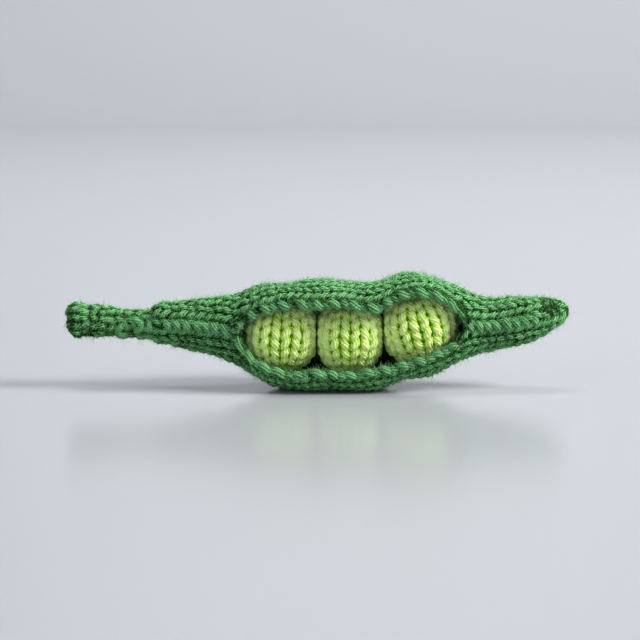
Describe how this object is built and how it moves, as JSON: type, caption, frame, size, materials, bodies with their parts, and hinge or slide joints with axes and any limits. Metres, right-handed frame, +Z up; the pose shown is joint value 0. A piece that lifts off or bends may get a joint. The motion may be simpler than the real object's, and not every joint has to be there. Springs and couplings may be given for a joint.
{
  "type": "knitted pea pod toy",
  "caption": "Hand-knitted pea pod toy: a green stocking-stitch pod with a narrow stem and a blunt tip, its mouth open on a row of stuffed lime peas. It rests on its belly.",
  "frame": {"origin": "the middle of the bounding box, on the table that the pod rests on", "axes": "+X runs along the pod from its stem to its tip, +Z is up, and the mouth with the peas faces -Y"},
  "size_m": [0.125, 0.024, 0.0289],
  "materials": {
    "green_yarn": "plied wool yarn, mid green, fuzzy, knitted in stocking stitch",
    "lime_yarn": "plied wool yarn, pale lime, knitted in stocking stitch",
    "fibre_filling": "white fibre filling, hidden inside a pea"
  },
  "bodies": {
    "root": {"pod": "green_yarn", "pea_left": "lime_yarn", "pea_middle": "lime_yarn", "pea_right": "lime_yarn", "stuffing_left": "fibre_filling", "stuffing_middle": "fibre_filling", "stuffing_right": "fibre_filling"}
  },
  "joints": []
}
